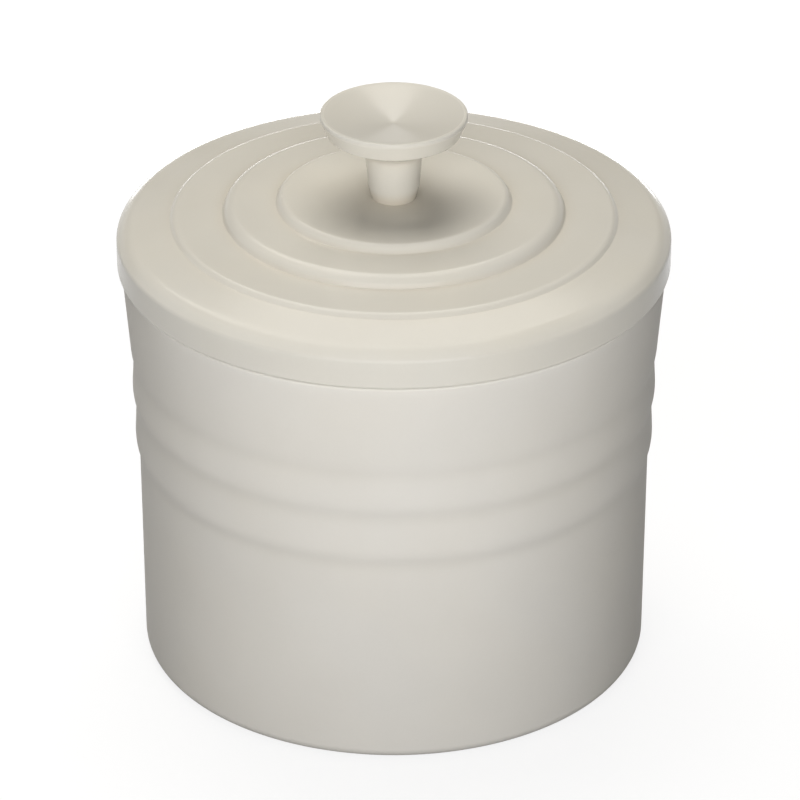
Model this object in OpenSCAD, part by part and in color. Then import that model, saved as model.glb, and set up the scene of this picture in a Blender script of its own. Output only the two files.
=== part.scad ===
// Stoneware condiment jar: a pot with a stepped lid, a trumpet knob and a sealing ring.
// Every piece is turned about the Z axis, in millimetres, with the foot standing on Z = 0.

/* [Jar body] */
// Radius of the plain lower wall at the foot
body_radius = 50.2; // [47:0.1:53]
// Height of the pot from the table to its rim
jar_height = 83.5; // [80:0.5:90]
// Outward lean of the lower wall between foot and bands
wall_lean = 0.3; // [0:0.05:0.6]
// Thickness of the wall at the floor
wall_thickness = 4.8; // [4.2:0.1:5.6]
// Thickness of the floor above the recess
floor_thickness = 4.2; // [3.6:0.1:6]
// Rounding of the outside bottom edge
base_round = 2.4; // [1.6:0.1:3.2]
// Rounding between floor and inside wall
floor_round = 8; // [5:0.5:12]
// Width of the bare foot ring
foot_width = 4.8; // [3.6:0.1:6.5]
// Height of the recess inside the foot ring
foot_recess = 1.2; // [0.8:0.1:2]
// Rounding of the two edges of the rim
rim_round = 0.7; // [0.5:0.1:1.3]
// Thickness of the rim at the mouth
rim_thickness = 5.95; // [5.4:0.05:6.4]

/* [Bands] */
// Height at which the ledge of the lower band starts
band_low = 43.7; // [41:0.1:47]
// Height of the lower band
lower_band = 10.5; // [9:0.1:11.5]
// Height of the upper band
upper_band = 9.3; // [8:0.1:10]
// How far the lower band stands out over the lower wall
lower_step = 0.8; // [0.5:0.05:1.1]
// How far the upper band stands out over the lower band
upper_step = 0.75; // [0.5:0.05:1]
// How far the neck stands out over the upper band
neck_step = 0.5; // [0.3:0.05:0.8]
// Rise of the sloped ledge under each band and under the neck
ledge_rise = 2.7; // [2.2:0.1:3.2]
// Outward lean of each band from its top to its bottom edge
band_lean = 0.4; // [0.2:0.05:0.6]
// Outward lean of the neck from the bands to the rim
neck_lean = 1.4; // [1:0.1:1.8]
// Rounding of the bottom edges of the bands
band_round = 3; // [2:0.1:3.6]
// Rounding of the bottom edge of the neck
neck_round = 4; // [2:0.1:5]
// Rounding in the corner under each ledge
ledge_round = 3.6; // [2.4:0.1:4.2]

/* [Lid] */
// Overhang of the lid over the pot's rim
lid_overhang = 0.8; // [0.5:0.05:1.2]
// Rounding under the edge of the lid
edge_round = 0.9; // [0.6:0.1:1.6]
// Height of the lid's edge below the slope of the shoulder
edge_height = 5.9; // [5.4:0.1:6.6]
// Height of the slope of the shoulder
shoulder_rise = 2.75; // [2.2:0.05:3.2]
// Run of the slope of the shoulder
shoulder_run = 3.35; // [2.8:0.05:4]
// Rounding between the lid's edge and the slope
edge_turn = 3.2; // [2.4:0.1:3.4]
// Rounding between the slope and the top of the shoulder
shoulder_turn = 5; // [3.5:0.1:5.4]
// Fall of the top of the shoulder from the outer step to the slope
shoulder_fall = 0.9; // [0.5:0.05:1.2]
// Width of the shoulder from the lid's edge to the outer step
shoulder_width = 10.4; // [9.8:0.1:12]
// Height of the outer step
outer_step = 0.9; // [0.6:0.05:1.4]
// Width of the tread between the outer and the middle step
outer_tread = 9.3; // [8:0.1:10.5]
// Height of the middle step
middle_step = 2.4; // [1.8:0.05:2.8]
// Width of the tread between the middle step and the lip
inner_tread = 9.2; // [8:0.1:10.5]
// Fall of the inner tread towards the lip
tread_fall = 0.3; // [0:0.05:0.5]
// Height of the lip over the middle step
lip_height = 1.4; // [1:0.05:2]
// Width of the top of the lip
lip_width = 1; // [0.8:0.05:1.4]
// Run of the outer riser
outer_run = 0.9; // [0.6:0.05:1.2]
// Run of the two inner risers
riser_run = 1.2; // [0.8:0.05:1.6]
// Rounding of the top edges of the steps
step_round = 0.6; // [0.3:0.05:0.7]
// Rounding at the foot of the steps
step_fillet = 0.5; // [0.2:0.05:0.6]
// Depth of the shallow dish in the middle of the lid below the lip
dish_depth = 0.5; // [0.3:0.05:0.9]
// Length of the bend between the dish's floor and its side
dish_bend = 5.5; // [4.5:0.1:6.5]
// Thickness of the lid under the dish
lid_thickness = 7.6; // [7:0.1:8.4]
// Run of the slope between the lid's ceiling and its plug
ceiling_run = 3.5; // [2.5:0.1:4.5]
// Length of the plug that hangs in the mouth
plug_depth = 10.4; // [9.6:0.1:12]
// Thickness of the plug
plug_thickness = 6.4; // [5.8:0.1:7]
// Rounding of the plug's lower edges
plug_round = 0.9; // [0.5:0.1:1.2]

/* [Knob] */
// Radius of the knob's rim
knob_radius = 14.35; // [13:0.05:15.5]
// Height of the knob over the floor of the dish
knob_height = 17.85; // [16.8:0.05:19.2]
// Radius of the stem at its waist
stem_radius = 4.8; // [4.4:0.05:5]
// Radius of the stem where it meets the flare
stem_top_radius = 5.4; // [5.1:0.05:6]
// Height of the waist over the floor of the dish
waist_height = 2.6; // [2.4:0.1:3.2]
// Height of the flare under the knob's rim
flare_height = 4.4; // [3.8:0.1:5]
// Radius of the foot that is luted to the lid
knob_foot = 6.6; // [6.2:0.1:7]
// Thickness of the edge of the foot
foot_edge = 0.3; // [0.3:0.05:0.6]
// Rounding between the foot and the stem
foot_fillet = 1.5; // [1:0.1:1.6]
// Height of the knob's flared rim
knob_rim = 3.2; // [2.6:0.1:3.8]
// How far the rim draws in towards the flare
knob_taper = 2.15; // [1.6:0.05:2.6]
// Height of the knob's rounded top edge
knob_crest = 1.5; // [1.4:0.05:1.8]
// Depth of the cone in the top of the knob
knob_dish = 2.1; // [1.6:0.1:2.8]

/* [Seal] */
// Height of the groove above the end of the plug
groove_lift = 2.4; // [2:0.1:3]
// Height of the groove for the sealing ring
groove_height = 4; // [3.6:0.1:4.6]
// Depth of the groove for the sealing ring
groove_depth = 2.6; // [2.2:0.1:2.8]
// Thickness of the ring's two lips at their root
seal_lip = 0.9; // [0.8:0.05:1.1]
// Thickness of the lips at their tips
seal_tip = 0.45; // [0.4:0.05:0.5]
// Upward lean of the lips
seal_rise = 0.5; // [0.3:0.05:0.7]

/* [Clearances] */
// Gap between the lid's seat and the pot's rim
seat_gap = 0.2; // [0.15:0.05:0.3]
// Gap between the plug and the mouth
plug_gap = 1; // [0.8:0.05:1.3]
// Gap between the sealing ring and its groove
seal_gap = 0.2; // [0.15:0.05:0.25]
// Gap between the lips of the sealing ring and the mouth
lip_gap = 0.2; // [0.15:0.05:0.3]
// Straight wall of the mouth below the end of the plug
mouth_margin = 2; // [1:0.1:4]
// Floor of the dish round the knob's foot
foot_margin = 0.2; // [0.1:0.05:0.5]

/* [Hidden] */
$fn = 180;
arc_step = 9;
clay = "#d9d4c9";
silicone = "#e9e6df";

// Pot
wall_top = body_radius + wall_lean;
lower_edge = wall_top + lower_step;
lower_top = lower_edge - band_lean;
upper_edge = lower_top + upper_step;
upper_top = upper_edge - band_lean;
neck_low = upper_top + neck_step;
neck_top = neck_low + neck_lean;
band_mid = band_low + lower_band;
band_high = band_mid + upper_band;
mouth_radius = neck_top - rim_thickness;
mouth_end = jar_height - plug_depth - mouth_margin;
mouth_turn = 30;
floor_top = foot_recess + floor_thickness;
floor_radius = body_radius - wall_thickness;
foot_inner = body_radius - base_round - foot_width;
foot_round = foot_recess / 3;

// Lid
lid_radius = neck_top + lid_overhang;
seat = jar_height + seat_gap;
edge_top = seat + edge_height;
slope_top = edge_top + shoulder_rise;
shoulder_top = slope_top + shoulder_fall;
shoulder_in = lid_radius - shoulder_width;
outer_ring = shoulder_in - outer_run;
tread_outer = shoulder_top + outer_step;
middle_foot = outer_ring - outer_tread;
middle_ring = middle_foot - riser_run;
tread_inner = tread_outer + middle_step;
lip_foot = middle_ring - inner_tread;
lip_ring = lip_foot - riser_run;
lip_top = tread_inner + lip_height;
dish_edge = lip_ring - lip_width;
dish_floor = lip_top - dish_depth;
dish_turn = knob_foot + foot_margin + dish_bend;
dish_round = dish_bend / tan(atan2(dish_depth, dish_edge - dish_turn) / 2);
ceiling = dish_floor - lid_thickness;
plug_radius = mouth_radius - plug_gap;
plug_inner = plug_radius - plug_thickness;
plug_end = seat - plug_depth;
groove_low = plug_end + groove_lift;
groove_high = groove_low + groove_height;
groove_radius = plug_radius - groove_depth;

// Knob
knob_top = dish_floor + knob_height;
knob_widest = knob_top - knob_crest;
knob_under = knob_widest - knob_rim;
knob_edge = knob_radius - knob_taper;
waist = dish_floor + waist_height;
stem_top = knob_under - flare_height;
foot_run = 0.1;
stem_fillet = min(foot_fillet, knob_foot - stem_radius - foot_run - 0.15);

// Seal
seal_inner = groove_radius + seal_gap;
seal_low = groove_low + seal_gap;
seal_high = groove_high - seal_gap;
seal_body = plug_radius - seal_gap;
seal_reach = mouth_radius - lip_gap;

function unit(v) = v / norm(v);
function flat(p) = [p[0], p[1]];

// Points of an arc of the given radius that rounds corner p between its neighbours a and b
function corner(a, p, b, radius) =
  radius <= 0 ? [p] :
  let (
    u = unit(a - p),
    w = unit(b - p),
    half = acos(u * w) / 2,
    centre = p + unit(u + w) * radius / sin(half),
    first = p + u * radius / tan(half) - centre,
    last = p + w * radius / tan(half) - centre,
    start = atan2(first[1], first[0]),
    turn = (atan2(last[1], last[0]) - start + 900) % 360 - 180,
    n = max(1, ceil(abs(turn) / arc_step))
  )
  [for (i = [0:n]) centre + radius * [cos(start + turn * i / n), sin(start + turn * i / n)]];

// A closed outline from points [radius, height, rounding]
function rounded(pts) =
  let (n = len(pts))
  [for (i = [0:n - 1])
    each corner(flat(pts[(i + n - 1) % n]), flat(pts[i]), flat(pts[(i + 1) % n]), pts[i][2])];

// Glazed stoneware pot, made as one piece with lapped bands and a bare foot ring
module jar_body() {
  color(clay) rotate_extrude() polygon(rounded([
    [0, foot_recess, 0],
    [foot_inner - foot_recess / 2, foot_recess, foot_round],
    [foot_inner, 0, foot_round],
    [body_radius, 0, base_round],
    [wall_top, band_low, ledge_round],
    [lower_edge, band_low + ledge_rise, band_round],
    [lower_top, band_mid, ledge_round],
    [upper_edge, band_mid + ledge_rise, band_round],
    [upper_top, band_high, ledge_round],
    [neck_low, band_high + ledge_rise, neck_round],
    [neck_top, jar_height, rim_round],
    [mouth_radius, jar_height, rim_round],
    [mouth_radius, mouth_end, mouth_turn],
    [floor_radius, floor_top, floor_round],
    [0, floor_top, 0]
  ]));
}

// Stoneware lid: stepped and dished top over a seat and a grooved plug
module lid() {
  color(clay) rotate_extrude() polygon(rounded([
    [0, ceiling, 0],
    [plug_inner - ceiling_run, ceiling, 4],
    [plug_inner, seat, 3],
    [plug_inner, plug_end, plug_round],
    [plug_radius, plug_end, plug_round],
    [plug_radius, groove_low, 0.3],
    [groove_radius, groove_low, 0],
    [groove_radius, groove_high, 0],
    [plug_radius, groove_high, 0.3],
    [plug_radius, seat, 0.6],
    [lid_radius, seat, edge_round],
    [lid_radius, edge_top, edge_turn],
    [lid_radius - shoulder_run, slope_top, shoulder_turn],
    [shoulder_in, shoulder_top, step_fillet],
    [outer_ring, tread_outer, step_round],
    [middle_foot, tread_outer, step_fillet],
    [middle_ring, tread_inner, step_round],
    [lip_foot, tread_inner - tread_fall, step_fillet],
    [lip_ring, lip_top, step_round],
    [dish_edge, lip_top, step_round],
    [dish_turn, dish_floor, dish_round],
    [0, dish_floor, 0]
  ]));
}

// Trumpet knob with a coned top, cast on its own and luted to the floor of the dish
module lid_knob() {
  color(clay) rotate_extrude() polygon(rounded([
    [0, dish_floor, 0],
    [knob_foot, dish_floor, 0],
    [knob_foot, dish_floor + foot_edge, 0],
    [stem_radius + foot_run, dish_floor + foot_edge, stem_fillet],
    [stem_radius, waist, 7],
    [stem_top_radius, stem_top, 6],
    [knob_edge, knob_under, 0.8],
    [knob_radius, knob_widest, 1.2],
    [knob_radius - knob_crest / 6, knob_top, 0.8],
    [0, knob_top - knob_dish, 0]
  ]));
}

// Soft sealing ring that sits in the groove and wipes the mouth with two lips
module seal_ring() {
  color(silicone) rotate_extrude() polygon(rounded([
    [seal_inner, seal_low, 0.3],
    [seal_body, seal_low, 0],
    [seal_reach, seal_low + seal_rise, 0],
    [seal_reach, seal_low + seal_rise + seal_tip, 0],
    [seal_body, seal_low + seal_lip, 0],
    [seal_body, seal_high - seal_lip - seal_rise, 0],
    [seal_reach, seal_high - seal_tip, 0],
    [seal_reach, seal_high, 0],
    [seal_body, seal_high - seal_rise, 0],
    [seal_body, seal_high, 0.2],
    [seal_inner, seal_high, 0.3]
  ]));
}

jar_body();
lid();
lid_knob();
seal_ring();
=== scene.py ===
import math

import bpy
import numpy as np
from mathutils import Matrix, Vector


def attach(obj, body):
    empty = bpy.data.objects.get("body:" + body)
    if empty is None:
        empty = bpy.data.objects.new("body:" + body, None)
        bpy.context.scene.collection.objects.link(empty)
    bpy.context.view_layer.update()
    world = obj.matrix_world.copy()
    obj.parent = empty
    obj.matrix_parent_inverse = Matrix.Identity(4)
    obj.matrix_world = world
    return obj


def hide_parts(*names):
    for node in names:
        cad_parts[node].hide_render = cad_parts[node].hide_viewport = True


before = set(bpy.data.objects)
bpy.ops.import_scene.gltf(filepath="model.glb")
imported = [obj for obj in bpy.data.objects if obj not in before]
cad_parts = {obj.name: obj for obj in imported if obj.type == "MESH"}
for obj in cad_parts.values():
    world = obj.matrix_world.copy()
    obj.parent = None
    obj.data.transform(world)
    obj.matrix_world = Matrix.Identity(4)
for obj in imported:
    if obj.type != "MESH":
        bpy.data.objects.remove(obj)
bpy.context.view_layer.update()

# Jar body
# The pot is stoneware, jiggered as one turned piece: a plain wall, two lapped bands and a flared neck.
# It is dipped in a satin cream glaze, darker in corners and lighter on edges, partly where glaze pools and
# thins and partly as painted shade and painted highlight; its foot ring is wiped bare.

MM = 0.001
ARC_FACET = math.radians(4)


def along(a, b):
    step = np.subtract(b, a)
    return step / np.linalg.norm(step)


def round_off(before, corner, after, radius):
    """The points of the arc that rounds one corner of an outline."""
    back, on = along(corner, before), along(corner, after)
    half = math.acos(np.clip(back @ on, -1, 1)) / 2
    centre = corner + along((0, 0), back + on) * radius / math.sin(half)
    start = corner + back * radius / math.tan(half) - centre
    turn = (math.pi - 2 * half) * (1 if back[0] * on[1] < back[1] * on[0] else -1)
    steps = max(2, math.ceil(abs(turn) / ARC_FACET))
    angles = [turn * k / steps for k in range(steps + 1)]
    return [centre + (start[0] * math.cos(a) - start[1] * math.sin(a),
                      start[0] * math.sin(a) + start[1] * math.cos(a)) for a in angles]


def turned_outline(corners, facet):
    """A fine outline, in mm, from corners (radius, height, rounding) that run round a piece's section."""
    bends = [np.array(corners[0][:2], float)]
    for before, corner, after in zip(corners, corners[1:], corners[2:]):
        place = np.array(corner[:2], float)
        bends += round_off(before[:2], place, after[:2], corner[2]) if corner[2] else [place]
    bends.append(np.array(corners[-1][:2], float))
    points = [bends[0]]
    for a, b in zip(bends, bends[1:]):
        cuts = max(1, math.ceil(np.linalg.norm(b - a) / facet))
        points += [a + (b - a) * k / cuts for k in range(1, cuts + 1)]
    return np.array(points)


def glaze_lie_and_shading(points, spread=0.8, pull=1.2):
    """How glaze lies on an outline, with painted shade and highlight: towards 1 in a hollow, where glaze
    pools and painted shade darkens it, -1 on an edge, where glaze thins and painted highlight lightens it.
    """
    steps = np.diff(points, axis=0)
    lengths = np.linalg.norm(steps, axis=1)
    place = np.concatenate([[0], np.cumsum(lengths)])
    heading = np.unwrap(np.arctan2(steps[:, 1], steps[:, 0]))
    turn = np.concatenate([[0], np.diff(heading), [0]])
    reach = np.exp(-((place[:, None] - place[None, :]) / spread) ** 2 / 2)
    return np.clip(-(reach @ turn) / (spread * math.sqrt(2 * math.pi)) * pull, -1, 1)


def wheel_tree():
    """Geometry Nodes that turn an outline about Z and leave the faint unevenness of fired clay in it."""
    tree = bpy.data.node_groups.new("turned_on_the_wheel", "GeometryNodeTree")
    settings = (("Outline", "Geometry"), ("Sides", "Int"), ("Hub radius", "Float"), ("Unevenness", "Float"),
                ("Unevenness length", "Float"), ("Seed", "Float"), ("Finish", "Material"))
    for label, kind in settings:
        tree.interface.new_socket(label, in_out="INPUT", socket_type="NodeSocket" + kind)
    tree.interface.new_socket("Turned piece", in_out="OUTPUT", socket_type="NodeSocketGeometry")

    def feed(socket, source):
        if isinstance(source, bpy.types.NodeSocket):
            tree.links.new(source, socket)
        else:
            socket.default_value = source

    def node(kind, **sources):
        made = tree.nodes.new("GeometryNode" + kind)
        for label, source in sources.items():
            feed(made.inputs[label.replace("_", " ")], source)
        return made.outputs[0]

    def maths(operation, first, second):
        made = tree.nodes.new("ShaderNodeMath")
        made.operation = operation
        feed(made.inputs[0], first)
        feed(made.inputs[1], second)
        return made.outputs[0]

    given = tree.nodes.new("NodeGroupInput").outputs
    outline = node("MeshToCurve", Mesh=given["Outline"])
    hub = node("CurvePrimitiveCircle", Resolution=given["Sides"], Radius=given["Hub radius"])
    swept = node("CurveToMesh", Curve=hub, Profile_Curve=outline)
    closed = node("MergeByDistance", Geometry=swept, Distance=1e-6)
    hand = tree.nodes.new("ShaderNodeTexNoise")
    hand.noise_dimensions = "4D"
    feed(hand.inputs["Scale"], maths("DIVIDE", 1, given["Unevenness length"]))
    feed(hand.inputs["Detail"], 1)
    feed(hand.inputs["W"], given["Seed"])
    depth = maths("MULTIPLY", hand.outputs[0], given["Unevenness"])
    push = tree.nodes.new("ShaderNodeVectorMath")
    push.operation = "SCALE"
    feed(push.inputs[0], node("InputNormal"))
    feed(push.inputs["Scale"], maths("MULTIPLY", depth, -1))
    uneven = node("SetPosition", Geometry=closed, Offset=push.outputs[0])
    smooth = node("SetShadeSmooth", Geometry=uneven)
    real = node("RealizeInstances", Geometry=smooth)
    finished = node("SetMaterial", Geometry=real, Material=given["Finish"])
    feed(tree.nodes.new("NodeGroupOutput").inputs[0], finished)
    return tree


# A curve can't be swept round a point, so each outline is swept round a small hub circle, HUB mm in radius.
WHEEL = wheel_tree()
HUB = 1.0


def turn_piece(name, points, marks, finish, seed, sides=224, unevenness=0.05, unevenness_length=18):
    """One turned piece as a plain mesh, with the outline's marks as attributes of its points."""
    mesh = bpy.data.meshes.new(name)
    inside_out = points[::-1]
    mesh.from_pydata([((r - HUB) * MM, -z * MM, 0) for r, z in inside_out],
                     [(i, i + 1) for i in range(len(points) - 1)], [])
    for label, values in marks.items():
        mark = mesh.attributes.new(label, "FLOAT", "POINT")
        mark.data.foreach_set("value", np.asarray(values, np.float32)[::-1].copy())
    piece = bpy.data.objects.new(name, mesh)
    bpy.context.scene.collection.objects.link(piece)
    wheel = piece.modifiers.new("wheel", "NODES")
    wheel.node_group = WHEEL
    settings = {"Sides": sides, "Hub radius": HUB * MM, "Unevenness": unevenness * MM,
                "Unevenness length": unevenness_length * MM, "Seed": seed, "Finish": finish}
    for socket in WHEEL.interface.items_tree:
        if socket.name in settings:
            wheel[socket.identifier] = settings[socket.name]
    evaluated = piece.evaluated_get(bpy.context.evaluated_depsgraph_get())
    turned = bpy.data.meshes.new_from_object(evaluated)
    piece.modifiers.remove(wheel)
    piece.data = turned
    turned.name = name
    bpy.data.meshes.remove(mesh)
    return piece


class Finish:
    """A material made of nodes, with its patterns laid in the piece's own coordinates."""

    def __init__(self, name, shift=(0, 0, 0)):
        self.material = bpy.data.materials.new(name)
        self.material.use_nodes = True
        self.nodes, self.links = self.material.node_tree.nodes, self.material.node_tree.links
        self.surface = self.nodes["Principled BSDF"].inputs
        self.place = self.nodes.new("ShaderNodeMapping")
        self.place.inputs["Location"].default_value = shift
        self.links.new(self.nodes.new("ShaderNodeTexCoord").outputs["Object"], self.place.inputs["Vector"])

    def feed(self, socket, source):
        if isinstance(source, bpy.types.NodeSocket):
            self.links.new(source, socket)
        else:
            socket.default_value = (*source, 1) if isinstance(source, tuple) else source

    def mark(self, label):
        """What the outline's mark of this name says at a point."""
        read = self.nodes.new("ShaderNodeAttribute")
        read.attribute_name = label
        return read.outputs["Fac"]

    def cloud(self, scale, detail):
        noise = self.nodes.new("ShaderNodeTexNoise")
        noise.inputs["Scale"].default_value = scale
        noise.inputs["Detail"].default_value = detail
        self.links.new(self.place.outputs[0], noise.inputs["Vector"])
        return noise.outputs[0]

    def spread(self, source, low, high, to_low=0, to_high=1):
        ramp = self.nodes.new("ShaderNodeMapRange")
        ends = {"From Min": low, "From Max": high, "To Min": to_low, "To Max": to_high}
        for label, value in ends.items():
            ramp.inputs[label].default_value = value
        self.links.new(source, ramp.inputs["Value"])
        return ramp.outputs[0]

    def wander(self, scale, detail, low, high):
        """Noise, most of which lies between 0.3 and 0.7, spread between two values."""
        return self.spread(self.cloud(scale, detail), 0.3, 0.7, low, high)

    def total(self, first, second):
        add = self.nodes.new("ShaderNodeMath")
        add.operation = "ADD"
        self.links.new(first, add.inputs[0])
        self.links.new(second, add.inputs[1])
        return add.outputs[0]

    def blend(self, share, first, second, kind="RGBA"):
        mix = self.nodes.new("ShaderNodeMix")
        mix.data_type = kind
        one, other, blended = (6, 7, 2) if kind == "RGBA" else (2, 3, 0)  # the node's own socket numbers
        self.links.new(share, mix.inputs[0])
        self.feed(mix.inputs[one], first)
        self.feed(mix.inputs[other], second)
        return mix.outputs[blended]

    def bump(self, height, strength, distance, under=None):
        raised = self.nodes.new("ShaderNodeBump")
        raised.inputs["Distance"].default_value = distance
        self.feed(raised.inputs["Strength"], strength)
        self.links.new(height, raised.inputs["Height"])
        if under is not None:
            self.links.new(under, raised.inputs["Normal"])
        return raised.outputs[0]


CLAY = (0.50, 0.42, 0.32)
COARSE_CLAY = tuple(0.8 * tone for tone in CLAY)
CLAY_ROUGHNESS = 0.85
THIN_EDGE_DULLNESS = 0.25


def satin_glaze(name, body, pooled_and_shaded, thin_and_highlit, satin, ior, shift):
    """Satin glaze with faint clouding and fine crystals, over clay that shows where it was wiped bare."""
    glaze = Finish(name, shift)
    glaze.surface["IOR"].default_value = ior

    # The pooled tone in hollows is partly painted shade, and the thin tone on edges partly painted
    # highlight.
    lie_and_shading = glaze.mark("lie_and_shading")
    tone = glaze.blend(glaze.spread(lie_and_shading, 0, 1), body, pooled_and_shaded)
    tone = glaze.blend(glaze.spread(lie_and_shading, 0, -1), tone, thin_and_highlit)
    shade = glaze.nodes.new("ShaderNodeHueSaturation")
    clouding = glaze.wander(scale=55, detail=3, low=0.985, high=1.015)
    crystals = glaze.wander(scale=1700, detail=2, low=-0.004, high=0.004)
    warmth = glaze.wander(scale=38, detail=2, low=0.92, high=1.08)
    glaze.links.new(tone, shade.inputs["Color"])
    glaze.links.new(glaze.total(clouding, crystals), shade.inputs["Value"])
    glaze.links.new(warmth, shade.inputs["Saturation"])

    # The wiped line wavers a little, as a sponge leaves it.
    sponge = glaze.wander(scale=260, detail=2, low=-0.2, high=0.2)
    bare = glaze.spread(glaze.total(glaze.mark("bare"), sponge), 0.42, 0.58)
    grog = glaze.blend(glaze.spread(glaze.cloud(scale=2600, detail=3), 0.35, 0.65), CLAY, COARSE_CLAY)
    glaze.links.new(glaze.blend(bare, shade.outputs[0], grog), glaze.surface["Base Color"])

    # Glaze that has run thin on an edge fires duller.
    dulled = glaze.spread(lie_and_shading, -0.12, -0.5, satin, satin + THIN_EDGE_DULLNESS)
    sheen = glaze.total(dulled, glaze.wander(scale=70, detail=3, low=-0.02, high=0.02))
    glaze.links.new(glaze.blend(bare, sheen, CLAY_ROUGHNESS, kind="FLOAT"), glaze.surface["Roughness"])

    peel = glaze.bump(glaze.cloud(scale=420, detail=2), strength=0.08, distance=0.00004)
    grain = glaze.bump(glaze.cloud(scale=2600, detail=3), strength=bare, distance=0.0001, under=peel)
    glaze.links.new(grain, glaze.surface["Normal"])
    return glaze.material


# The pot's pooled tone is partly painted shade in corners, and its thin tone partly painted highlight on
# edges.
jar_glaze = satin_glaze(
    "jar_satin_glaze", body=(0.75, 0.722, 0.666), pooled_and_shaded=(0.675, 0.638, 0.563), thin_and_highlit=(0.765, 0.739, 0.687),
    satin=0.48, ior=1.1, shift=(0.3, 0.1, 0.7))
jar_corners = [
    (0, 1.2, 0), (42.4, 1.2, 0.4), (43.0, 0, 0.4), (50.2, 0, 2.4),  # foot ring
    (50.5, 43.7, 9), (51.3, 46.4, 8),  # wall and the ledge of the lower band
    (50.9, 54.2, 9), (51.65, 56.9, 8),  # ledge of the upper band
    (51.25, 63.5, 10), (51.75, 66.2, 10),  # ledge of the neck
    (53.15, 83.65, 0.6), (47.2, 83.65, 0.9),  # rim
    (47.2, 71.1, 30), (45.4, 5.4, 8), (0, 5.4, 0)]  # inside
jar_wiped_height, jar_wiped_radius = 0.35, 42
jar_points = turned_outline(jar_corners, facet=1.4)
jar_bare = (jar_points[:, 1] < jar_wiped_height) & (jar_points[:, 0] > jar_wiped_radius)
jar_marks = {"lie_and_shading": glaze_lie_and_shading(jar_points), "bare": jar_bare}
jar_body = turn_piece("pot", jar_points, jar_marks, jar_glaze, seed=3.0)
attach(jar_body, "jar")
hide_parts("jar_body")

# Sealing ring
# A soft white silicone ring with two thin lips, moulded in one piece.
# It is stretched into the groove of the lid's plug and lifts out of the mouth with the lid.

SILICONE, BLOOMED_SILICONE = (0.66, 0.65, 0.62), (0.74, 0.73, 0.71)
silicone = Finish("seal_silicone")
bloom = silicone.cloud(scale=240, detail=3)
silicone_tone = silicone.blend(silicone.spread(bloom, 0.35, 0.65), SILICONE, BLOOMED_SILICONE)
silicone.links.new(silicone_tone, silicone.surface["Base Color"])
silicone.links.new(silicone.spread(bloom, 0, 1, 0.42, 0.58), silicone.surface["Roughness"])
seal_corners = [
    (44.9, 75.9, 0), (46.0, 75.9, 0.1),  # underside
    (47.0, 76.4, 0.15), (47.0, 76.85, 0.15), (46.0, 76.8, 0.15),  # lower lip
    (46.0, 78.1, 0.15), (47.0, 79.05, 0.15), (47.0, 79.5, 0.15), (46.0, 79.0, 0.1),  # upper lip
    (46.0, 79.5, 0.2), (43.8, 79.5, 0.3), (43.8, 75.9, 0.3), (44.9, 75.9, 0)]  # band in the groove
seal_points = turned_outline(seal_corners, facet=0.5)
seal_ring = turn_piece("seal", seal_points, {}, silicone.material, seed=5.0, unevenness=0.02)
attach(seal_ring, "seal")
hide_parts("seal_ring")

# Lid
# Turned stoneware with a sloped shoulder and a top that climbs in three low steps to a nearly flat middle.
# A grooved plug hangs under it. The lid is fired standing on the plug, so that edge is wiped bare of glaze.

# In the lid's and knob's tones, pooled is partly painted shade and thin is partly painted highlight.
LID_TONES = {"body": (0.70, 0.671, 0.602), "pooled_and_shaded": (0.64, 0.575, 0.475), "thin_and_highlit": (0.715, 0.687, 0.62)}
LID_POOL_AND_EDGE_SHARE = 0.5  # the lid's glaze is stiffer than the pot's, so its pooled tone (partly painted shade) and thin tone (partly painted highlight) are half as strong
lid_glaze = satin_glaze("lid_satin_glaze", **LID_TONES, satin=0.17, ior=1.27, shift=(0.9, 0.4, 0.2))
lid_corners = [
    (0, 89.85, 0), (36.3, 89.85, 4), (39.8, 83.7, 3),  # hollow underneath
    (39.8, 73.3, 0.9), (46.2, 73.3, 0.9),  # plug
    (46.2, 75.7, 0.3), (43.6, 75.7, 0.2), (43.6, 79.7, 0.2), (46.2, 79.7, 0.3),  # groove for the ring
    (46.2, 83.7, 0.6), (53.95, 83.7, 0.9),  # seat
    (53.95, 89.8, 1.5), (52.1, 91.85, 4),  # edge and shoulder
    (43.55, 93.2, 0.3), (42.75, 94.1, 1.4),  # outer step
    (33.35, 94.25, 0.3), (32.4, 96.45, 2.6),  # middle step
    (22.95, 96.4, 0.3), (21.95, 97.95, 1.3), (20.75, 97.95, 0.5),  # inner step and its lip
    (12.3, 97.45, 186), (0, 97.45, 0)]  # dished middle
lid_wiped_height, lid_middle_height, lid_shade_radius, lid_shade_depth = 73.6, 97, 9, 0.3
lid_points = turned_outline(lid_corners, facet=1.2)
lid_bare = lid_points[:, 1] < lid_wiped_height
# A darker, browner tone on the middle round the knob's foot is painted shade where the knob's shadow falls.
lid_painted_shade = np.exp(-(lid_points[:, 0] / lid_shade_radius) ** 2) * (lid_points[:, 1] > lid_middle_height)
lid_lie_and_shading = LID_POOL_AND_EDGE_SHARE * glaze_lie_and_shading(lid_points) + lid_shade_depth * lid_painted_shade
lid = turn_piece("lid_top", lid_points, {"lie_and_shading": lid_lie_and_shading, "bare": lid_bare}, lid_glaze, seed=7.0)
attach(lid, "lid")
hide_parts("lid")

# Knob
# Trumpet-shaped stoneware with a coned top, cast on its own because it is undercut all round.
# It is luted to the middle of the lid with slip and glazed with it; the darker tone round the joint is
# painted shade.

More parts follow.
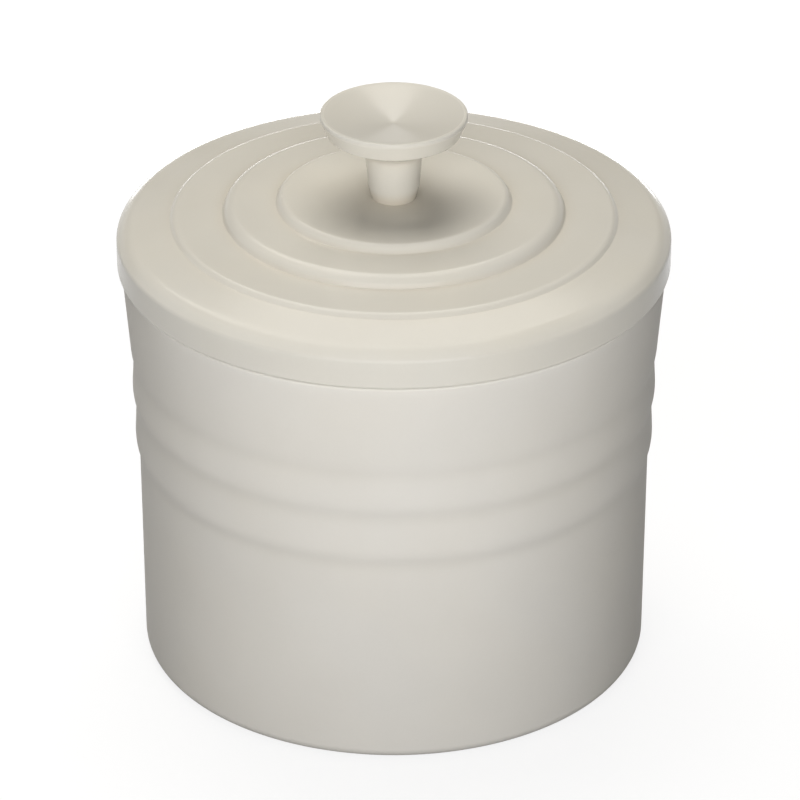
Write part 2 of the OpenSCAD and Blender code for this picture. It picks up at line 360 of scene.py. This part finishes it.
knob_glaze = satin_glaze("knob_satin_glaze", **LID_TONES, satin=0.11, ior=1.26, shift=(0.5, 0.8, 0.3))
knob_corners = [
    (0, 97.1, 0), (4.3, 97.1, 0), (5.0, 99.9, 5),  # foot
    (5.65, 107.4, 2.2), (13.0, 111.2, 0.6),  # stem and flare
    (14.3, 114.4, 0.7), (14.2, 115.2, 0.4), (0, 113, 0)]  # rim and coned top
knob_joint_height, knob_shade_height = 97.4, 1.7
knob_points = turned_outline(knob_corners, facet=0.6)
# A darker tone at the foot of the stem, where it meets the lid, is painted shade.
knob_foot_shade = np.exp(-((knob_points[:, 1] - knob_joint_height) / knob_shade_height) ** 2)
knob_lie_and_shading = LID_POOL_AND_EDGE_SHARE * glaze_lie_and_shading(knob_points) + knob_foot_shade
knob_marks = {"lie_and_shading": knob_lie_and_shading, "bare": np.zeros(len(knob_points))}
knob = turn_piece("knob", knob_points, knob_marks, knob_glaze, seed=11.0, sides=160, unevenness=0.03,
                  unevenness_length=9)
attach(knob, "lid")
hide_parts("lid_knob")

# Studio
# A pale sweep of paper under an overhead softbox, with a wide softbox and a white card in front.
# A low panel behind and a small softbox at the left fill the shadows, and the camera looks down at the jar.

paper = bpy.data.materials.new("floor_paper")
paper.use_nodes = True
paper_nodes, paper_links = paper.node_tree.nodes, paper.node_tree.links
paper_nodes.remove(paper_nodes["Principled BSDF"])
table_grey = paper_nodes.new("ShaderNodeBsdfDiffuse")
table_grey.inputs["Color"].default_value = (0.2, 0.2, 0.2, 1)
shadowed = paper_nodes.new("ShaderNodeBsdfDiffuse")
shadowed.inputs["Color"].default_value = (0.22, 0.22, 0.22, 1)
white = paper_nodes.new("ShaderNodeEmission")
white.inputs["Color"].default_value = (0.82, 0.82, 0.82, 1)
pale = paper_nodes.new("ShaderNodeAddShader")
paper_links.new(shadowed.outputs[0], pale.inputs[0])
paper_links.new(white.outputs[0], pale.inputs[1])

# The paper is white to the camera and to rays that mirror or pass through a surface, and grey to the rest.
path = paper_nodes.new("ShaderNodeLightPath").outputs
seen = path["Is Camera Ray"]
for ray in ("Is Glossy Ray", "Is Transmission Ray"):
    either = paper_nodes.new("ShaderNodeMath")
    either.operation = "MAXIMUM"
    paper_links.new(seen, either.inputs[0])
    paper_links.new(path[ray], either.inputs[1])
    seen = either.outputs[0]
paper_mix = paper_nodes.new("ShaderNodeMixShader")
paper_links.new(seen, paper_mix.inputs[0])
paper_links.new(table_grey.outputs[0], paper_mix.inputs[1])
paper_links.new(pale.outputs[0], paper_mix.inputs[2])
paper_links.new(paper_mix.outputs[0], paper_nodes["Material Output"].inputs["Surface"])
sweep_points = turned_outline([(3000, 600, 0), (2900, -0.1, 350), (0, -0.1, 0)], facet=150)
floor = turn_piece("floor", sweep_points, {}, paper, seed=0.0, sides=96, unevenness=0)

world = bpy.data.worlds.new("studio")
bpy.context.scene.world = world
world.use_nodes = True
air = world.node_tree.nodes["Background"]
air.inputs["Color"].default_value = (1, 1, 1, 1)
air.inputs["Strength"].default_value = 0.06

WARM, WHITE = (1.0, 0.975, 0.92), (1.0, 1.0, 1.0)


def softbox(name, size, place, aim, power, colour=WHITE):
    lamp = bpy.data.lights.new(name, "AREA")
    lamp.shape = "RECTANGLE"
    lamp.size, lamp.size_y = size
    lamp.energy = power
    lamp.color = colour
    box = bpy.data.objects.new(name, lamp)
    bpy.context.scene.collection.objects.link(box)
    box.location = place
    box.rotation_euler = (Vector(aim) - Vector(place)).to_track_quat("-Z", "Y").to_euler()
    box.visible_camera = False


jar_middle = Vector((0, 0, 0.07))
overhead_height, overhead_turn, overhead_distance = math.radians(66), math.radians(190), 1.1
overhead_way = Vector((math.sin(overhead_turn) * math.cos(overhead_height),
                       -math.cos(overhead_turn) * math.cos(overhead_height),
                       math.sin(overhead_height)))
overhead = jar_middle + overhead_distance * overhead_way
softbox("overhead_softbox", size=(0.81, 0.95), place=overhead, aim=jar_middle, power=9.8, colour=WARM)
softbox("front_softbox", size=(0.88, 0.56), place=(-0.02, -0.75, 0.33), aim=(-0.02, 0, 0.33), power=5.8)
softbox("table_card", size=(0.8, 0.35), place=(-0.06, -0.42, 0.002), aim=(-0.06, -0.42, 1), power=1.1)
softbox("back_panel", size=(0.3, 0.06), place=(0, 0.36, 0.031), aim=(0, 0, 0.031), power=0.28)
softbox("left_softbox", size=(0.4, 0.3), place=(-0.6, 0.16, 0.24), aim=jar_middle, power=0.3)

eye = bpy.data.cameras.new("photo_camera")
eye.sensor_width = 36
eye.lens = 220.71
eye.shift_x = 0.00763
eye.shift_y = 0.0006
camera = bpy.data.objects.new("photo_camera", eye)
bpy.context.scene.collection.objects.link(camera)
camera.location = (0, -0.85187, 0.52022)
camera_aim = Vector((0, 0, 0.05213))
camera.rotation_euler = (camera_aim - camera.location).to_track_quat("-Z", "Y").to_euler()
bpy.context.scene.camera = camera
bpy.context.scene.view_settings.view_transform = "Standard"
